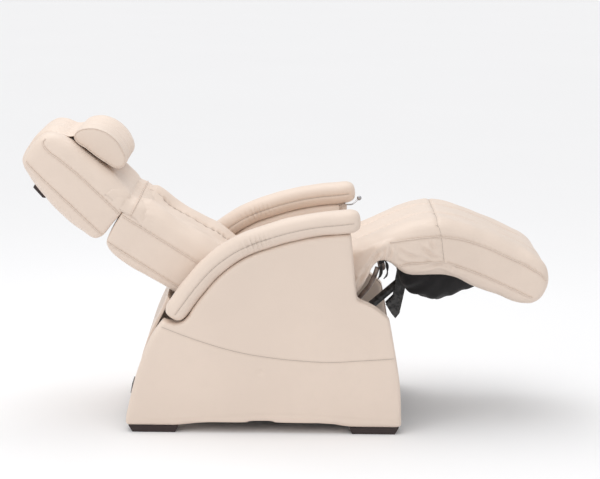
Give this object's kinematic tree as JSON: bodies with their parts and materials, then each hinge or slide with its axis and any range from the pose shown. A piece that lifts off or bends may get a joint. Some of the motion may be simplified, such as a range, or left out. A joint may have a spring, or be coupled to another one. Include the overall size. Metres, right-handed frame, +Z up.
{
  "type": "massage chair",
  "caption": "Reclined zero-gravity massage chair: leather side panels and arm pads, one-piece seat and legrest, hinged back and head section with neck pillow.",
  "frame": {"origin": "floor point under the middle of the reclined chair's bounding box", "axes": "+X towards the sitter's feet, +Y towards the sitter's left, +Z up"},
  "size_m": [1.7578, 0.7288, 0.9943],
  "materials": {
    "upholstery": "satin",
    "leather": "satin",
    "dark_brown": "satin",
    "black_cloth": "matte",
    "black_steel": "satin",
    "black_board": "matte",
    "bronze_tube": "satin",
    "zinc_steel": "satin",
    "chrome": "polished",
    "grey_plastic": "matte",
    "black_rubber": "matte",
    "plywood": "satin"
  },
  "bodies": {
    "base": {"side_panel_right": "upholstery", "side_panel_left": "upholstery", "arm_pad_right": "upholstery", "arm_pad_left": "upholstery", "foot_front_right": "dark_brown", "foot_front_left": "dark_brown", "foot_rear_right": "dark_brown", "foot_rear_left": "dark_brown", "base_plate_right": "black_steel", "base_plate_left": "black_steel", "base_tray": "black_steel", "control_box": "grey_plastic", "pivot_shaft": "zinc_steel", "strut_anchor": "black_steel", "rear_cover": "leather", "front_cover": "black_board", "power_inlet": "grey_plastic", "lever_bracket": "black_steel", "release_cable": "black_rubber"},
    "switch": {"power_switch": "black_rubber"},
    "lever": {"release_lever": "chrome"},
    "seat": {"seat_cushion": "upholstery", "leg_cushion": "upholstery", "leg_board": "plywood", "seat_pan": "plywood", "seat_plate_right": "black_steel", "seat_plate_left": "black_steel", "seat_bow_right": "bronze_tube", "seat_bow_left": "bronze_tube", "knee_cross_tube": "bronze_tube", "leg_cover": "black_cloth", "strut_bracket": "black_steel"},
    "link_right": {"control_link_right": "zinc_steel"},
    "link_left": {"control_link_left": "zinc_steel"},
    "strut_tube": {"strut_cylinder": "black_steel"},
    "strut_shaft": {"strut_rod": "zinc_steel"},
    "back": {"back_cushion": "upholstery", "back_shell": "upholstery", "back_plate_right": "black_steel", "back_plate_left": "black_steel", "guide_rail_right": "zinc_steel", "guide_rail_left": "zinc_steel", "back_cross_bottom": "black_steel", "back_cross_top": "black_steel", "travel_motor": "grey_plastic"},
    "screw": {"lead_screw": "zinc_steel"},
    "carriage": {"massage_carriage": "black_steel", "knead_motor": "grey_plastic"},
    "kneader": {"knead_shaft": "zinc_steel"},
    "rocker_right": {"massage_arm_right": "grey_plastic"},
    "rocker_left": {"massage_arm_left": "grey_plastic"},
    "roller_ur": {"roller_upper_right": "black_rubber"},
    "roller_lr": {"roller_lower_right": "black_rubber"},
    "roller_ul": {"roller_upper_left": "black_rubber"},
    "roller_ll": {"roller_lower_left": "black_rubber"},
    "head": {"head_cushion": "upholstery", "head_shell": "upholstery"},
    "neck_pillow": {"pillow": "upholstery", "pillow_flap": "leather"},
    "counterweight": {"flap_weight": "dark_brown"}
  },
  "joints": [
    {"name": "recline", "type": "hinge", "parent": "base", "child": "seat", "pos_m": [0.02, 0, 0.345], "axis": [0, 1, 0], "range_deg": [0, 25]},
    {"name": "back_tilt", "type": "hinge", "parent": "seat", "child": "back", "pos_m": [-0.09, 0, 0.375], "axis": [0, 1, 0], "range_deg": [0, 15]},
    {"name": "link_swing_right", "type": "hinge", "parent": "base", "child": "link_right", "pos_m": [0.0013, -0.249, 0.3725], "axis": [0, 1, 0], "range_deg": [0, 34.6]},
    {"name": "link_swing_left", "type": "hinge", "parent": "base", "child": "link_left", "pos_m": [0.0013, 0.249, 0.3725], "axis": [0, 1, 0], "range_deg": [0, 34.6]},
    {"name": "strut_swing", "type": "hinge", "parent": "seat", "child": "strut_tube", "pos_m": [0.398, 0, 0.455], "axis": [0, 1, 0], "range_deg": [-5.2, 0]},
    {"name": "strut_slide", "type": "slide", "parent": "strut_tube", "child": "strut_shaft", "axis": [0.7495, 0, 0.662], "range_m": [0, 0.081]},
    {"name": "release", "type": "hinge", "parent": "base", "child": "lever", "pos_m": [0.208, 0.302, 0.668], "axis": [0, 1, 0], "range_deg": [0, 20], "stiffness_Nm_per_rad": 0.6, "springref_deg": -11.46},
    {"name": "switch_rock", "type": "hinge", "parent": "base", "child": "switch", "pos_m": [-0.5125, -0.127, 0.11], "axis": [0, 1, 0], "range_deg": [-8, 8]},
    {"name": "head_fold", "type": "hinge", "parent": "back", "child": "head", "pos_m": [-0.549, 0, 0.716], "axis": [0, 1, 0], "range_deg": [-15, 8]},
    {"name": "pillow_slide", "type": "slide", "parent": "head", "child": "neck_pillow", "axis": [0.7934, 0, -0.6088], "range_m": [0, 0.05], "deforming": ["pillow_flap"]},
    {"name": "weight_slide", "type": "slide", "parent": "head", "child": "counterweight", "axis": [-0.749, 0, 0.6626], "range_m": [0, 0.05]},
    {"name": "carriage_travel", "type": "slide", "parent": "back", "child": "carriage", "axis": [-0.848, 0, 0.5299], "range_m": [0, 0.22]},
    {"name": "screw_turn", "type": "hinge", "parent": "back", "child": "screw", "pos_m": [-0.18396, 0, 0.40964], "axis": [-0.848, 0, 0.5299], "continuous": true},
    {"name": "knead_turn", "type": "hinge", "parent": "carriage", "child": "kneader", "pos_m": [-0.26146, 0, 0.48282], "axis": [0, 1, 0], "continuous": true},
    {"name": "rocker_swing_right", "type": "hinge", "parent": "carriage", "child": "rocker_right", "pos_m": [-0.26146, -0.076, 0.48282], "axis": [0, 1, 0], "range_deg": [-7, 7]},
    {"name": "rocker_swing_left", "type": "hinge", "parent": "carriage", "child": "rocker_left", "pos_m": [-0.26146, 0.076, 0.48282], "axis": [0, 1, 0], "range_deg": [-7, 7]},
    {"name": "roller_spin_upper_right", "type": "hinge", "parent": "rocker_right", "child": "roller_ur", "pos_m": [-0.28902, -0.096, 0.52363], "axis": [0, 1, 0], "continuous": true},
    {"name": "roller_spin_upper_left", "type": "hinge", "parent": "rocker_left", "child": "roller_ul", "pos_m": [-0.28902, 0.096, 0.52363], "axis": [0, 1, 0], "continuous": true},
    {"name": "roller_spin_lower_right", "type": "hinge", "parent": "rocker_right", "child": "roller_lr", "pos_m": [-0.21269, -0.096, 0.47594], "axis": [0, 1, 0], "continuous": true},
    {"name": "roller_spin_lower_left", "type": "hinge", "parent": "rocker_left", "child": "roller_ll", "pos_m": [-0.21269, 0.096, 0.47594], "axis": [0, 1, 0], "continuous": true}
  ],
  "couplings": [
    {"joint": "back_tilt", "follows": "recline", "ratio": 0.6},
    {"joint": "link_swing_right", "follows": "recline", "ratio": 1.3829},
    {"joint": "link_swing_left", "follows": "recline", "ratio": 1.3829},
    {"joint": "strut_swing", "follows": "recline", "ratio": -0.206},
    {"joint": "strut_slide", "follows": "recline", "m_per_rad": 0.1849},
    {"joint": "weight_slide", "follows": "pillow_slide", "ratio": 1},
    {"joint": "screw_turn", "follows": "carriage_travel", "rad_per_m": 314.16},
    {"joint": "rocker_swing_left", "follows": "rocker_swing_right", "ratio": -1}
  ]
}
